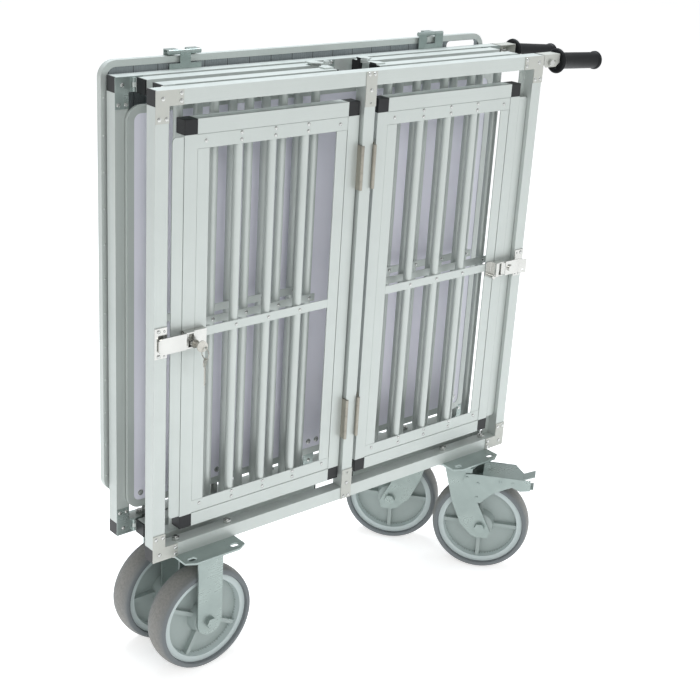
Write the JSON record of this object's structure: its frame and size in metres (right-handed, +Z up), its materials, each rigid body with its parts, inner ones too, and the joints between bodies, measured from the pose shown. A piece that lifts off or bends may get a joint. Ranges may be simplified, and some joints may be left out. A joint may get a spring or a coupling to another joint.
{
  "type": "folding barred cage trolley",
  "caption": "Folding barred cage trolley, folded flat, with barred doors, bi-fold side leaves, a hanging top panel, push grips and castors.",
  "frame": {"origin": "centre of the footprint of the folded trolley, on the ground", "axes": "+X along the gate frames to the push grips, +Y from the door frame to the rear frame, +Z up"},
  "size_m": [1.0645, 0.4096, 1.114],
  "materials": {
    "extrusion": "satin anodised",
    "end_caps": "moulded",
    "plates": "zinc plated",
    "fasteners": "bright plated",
    "latch_chrome": "polished",
    "hinge_steel": "satin",
    "key_steel": "nickel plated, worn",
    "hub": "moulded, satin",
    "tyre": "matte, dusty tread",
    "floor_lilac": "laminated face",
    "trim": "satin",
    "top_mat": "ribbed",
    "grip_rubber": "moulded"
  },
  "bodies": {
    "front_frame": {"front_rails": "extrusion", "front_posts": "extrusion", "front_caps": "end_caps", "front_plates": "plates", "front_fasteners": "fasteners", "latch_keepers": "latch_chrome", "post_hinges": "hinge_steel", "front_left_fork": "plates", "front_right_plate": "plates"},
    "front_left_wheel": {"front_left_hub": "hub", "front_left_tyre": "tyre"},
    "front_right_swivel": {"front_right_fork": "plates"},
    "front_right_pedal": {"front_right_brake": "plates"},
    "front_right_wheel": {"front_right_hub": "hub", "front_right_tyre": "tyre"},
    "rear_frame": {"rear_rails": "extrusion", "rear_posts": "extrusion", "rear_caps": "end_caps", "rear_plates": "plates", "rear_fasteners": "fasteners", "rear_left_fork": "plates", "rear_right_plate": "plates", "floor_board": "floor_lilac", "floor_trim": "trim", "floor_fittings": "plates"},
    "rear_left_wheel": {"rear_left_hub": "hub", "rear_left_tyre": "tyre"},
    "rear_right_swivel": {"rear_right_fork": "plates"},
    "rear_right_pedal": {"rear_right_brake": "plates"},
    "rear_right_wheel": {"rear_right_hub": "hub", "rear_right_tyre": "tyre"},
    "top_panel": {"top_board": "top_mat", "top_trim": "trim", "top_straps": "plates"},
    "left_door": {"left_door_frame": "extrusion", "left_door_corners": "end_caps", "left_door_bars": "extrusion", "left_door_hinges": "hinge_steel", "left_latch_base": "latch_chrome"},
    "left_paddle": {"left_latch_paddle": "latch_chrome"},
    "left_key": {"left_latch_key": "key_steel"},
    "left_key_ring": {"left_latch_ring": "key_steel"},
    "right_door": {"right_door_frame": "extrusion", "right_door_corners": "end_caps", "right_door_bars": "extrusion", "right_door_hinges": "hinge_steel", "right_latch_base": "latch_chrome"},
    "right_paddle": {"right_latch_paddle": "latch_chrome"},
    "left_front_leaf": {"left_front_leaf_rails": "extrusion", "left_front_leaf_bars": "extrusion"},
    "left_rear_leaf": {"left_rear_leaf_rails": "extrusion", "left_rear_leaf_bars": "extrusion"},
    "right_front_leaf": {"right_front_leaf_rails": "extrusion", "right_front_leaf_bars": "extrusion"},
    "right_rear_leaf": {"right_rear_leaf_rails": "extrusion", "right_rear_leaf_bars": "extrusion"},
    "front_handle": {"front_handle_channel": "plates", "front_handle_grip": "grip_rubber"},
    "rear_handle": {"rear_handle_channel": "plates", "rear_handle_grip": "grip_rubber"}
  },
  "joints": [
    {"name": "left_front_leaf_fold", "type": "hinge", "parent": "front_frame", "child": "left_front_leaf", "pos_m": [-0.49225, -0.042, 0.6525], "axis": [0, 0, 1], "range_deg": [0, 90]},
    {"name": "left_rear_leaf_fold", "type": "hinge", "parent": "left_front_leaf", "child": "left_rear_leaf", "pos_m": [-0.12725, 0, 0.6525], "axis": [0, 0, 1], "range_deg": [-180, 0]},
    {"name": "rear_frame_fold", "type": "hinge", "parent": "left_rear_leaf", "child": "rear_frame", "pos_m": [-0.49225, 0.042, 0.6525], "axis": [0, 0, 1], "range_deg": [0, 90]},
    {"name": "right_front_leaf_fold", "type": "hinge", "parent": "front_frame", "child": "right_front_leaf", "pos_m": [0.32575, -0.042, 0.6525], "axis": [0, 0, 1], "range_deg": [-90, 0]},
    {"name": "right_rear_leaf_fold", "type": "hinge", "parent": "right_front_leaf", "child": "right_rear_leaf", "pos_m": [-0.03925, 0, 0.6525], "axis": [0, 0, 1], "range_deg": [0, 180]},
    {"name": "left_door_swing", "type": "hinge", "parent": "front_frame", "child": "left_door", "pos_m": [-0.0975, -0.0757, 0.6675], "axis": [0, 0, 1], "range_deg": [0, 160]},
    {"name": "right_door_swing", "type": "hinge", "parent": "front_frame", "child": "right_door", "pos_m": [-0.069, -0.0757, 0.6675], "axis": [0, 0, 1], "range_deg": [-160, 0]},
    {"name": "left_latch_pull", "type": "hinge", "parent": "left_door", "child": "left_paddle", "pos_m": [-0.46325, -0.0755, 0.6615], "axis": [0, 0, 1], "range_deg": [0, 50], "stiffness_Nm_per_rad": 0.08},
    {"name": "right_latch_pull", "type": "hinge", "parent": "right_door", "child": "right_paddle", "pos_m": [0.29675, -0.0755, 0.6615], "axis": [0, 0, 1], "range_deg": [-50, 0], "stiffness_Nm_per_rad": 0.08},
    {"name": "left_key_turn", "type": "hinge", "parent": "left_door", "child": "left_key", "pos_m": [-0.45125, -0.084, 0.6555], "axis": [0, -1, 0], "range_deg": [0, 90]},
    {"name": "key_ring_swing", "type": "hinge", "parent": "left_key", "child": "left_key_ring", "pos_m": [-0.43775, -0.094, 0.6494], "axis": [0, 1, 0], "range_deg": [-20, 20]},
    {"name": "top_panel_swing", "type": "hinge", "parent": "rear_frame", "child": "top_panel", "pos_m": [-0.09525, 0.0756, 1.11], "axis": [1, 0, 0], "range_deg": [0, 270]},
    {"name": "front_handle_fold", "type": "hinge", "parent": "front_frame", "child": "front_handle", "pos_m": [0.37945, -0.0595, 1.0668], "axis": [0, 1, 0], "range_deg": [0, 76]},
    {"name": "rear_handle_fold", "type": "hinge", "parent": "rear_frame", "child": "rear_handle", "pos_m": [0.37945, 0.0595, 1.0668], "axis": [0, 1, 0], "range_deg": [0, 76]},
    {"name": "front_left_roll", "type": "hinge", "parent": "front_frame", "child": "front_left_wheel", "pos_m": [-0.41375, -0.0595, 0.103], "axis": [0, 1, 0], "continuous": true},
    {"name": "front_right_turn", "type": "hinge", "parent": "front_frame", "child": "front_right_swivel", "pos_m": [0.24725, -0.0595, 0.2375], "axis": [0, 0, 1], "range_deg": [-160, 90]},
    {"name": "front_right_roll", "type": "hinge", "parent": "front_right_swivel", "child": "front_right_wheel", "pos_m": [0.28325, -0.1024, 0.103], "axis": [0.766, 0.6428, 0], "continuous": true},
    {"name": "front_right_brake_press", "type": "hinge", "parent": "front_right_swivel", "child": "front_right_pedal", "pos_m": [0.26011, -0.07482, 0.2165], "axis": [0.766, 0.6428, 0], "range_deg": [0, 8]},
    {"name": "rear_left_roll", "type": "hinge", "parent": "rear_frame", "child": "rear_left_wheel", "pos_m": [-0.41375, 0.0595, 0.103], "axis": [0, 1, 0], "continuous": true},
    {"name": "rear_right_turn", "type": "hinge", "parent": "rear_frame", "child": "rear_right_swivel", "pos_m": [0.24725, 0.0595, 0.2375], "axis": [0, 0, 1], "range_deg": [-160, 90]},
    {"name": "rear_right_roll", "type": "hinge", "parent": "rear_right_swivel", "child": "rear_right_wheel", "pos_m": [0.21125, 0.1024, 0.103], "axis": [-0.766, -0.6428, 0], "continuous": true},
    {"name": "rear_right_brake_press", "type": "hinge", "parent": "rear_right_swivel", "child": "rear_right_pedal", "pos_m": [0.23439, 0.07482, 0.2165], "axis": [-0.766, -0.6428, 0], "range_deg": [0, 8]}
  ],
  "couplings": [
    {"joint": "left_rear_leaf_fold", "follows": "left_front_leaf_fold", "ratio": -2},
    {"joint": "rear_frame_fold", "follows": "left_front_leaf_fold", "ratio": 1},
    {"joint": "right_front_leaf_fold", "follows": "left_front_leaf_fold", "ratio": -1},
    {"joint": "right_rear_leaf_fold", "follows": "left_front_leaf_fold", "ratio": 2}
  ]
}
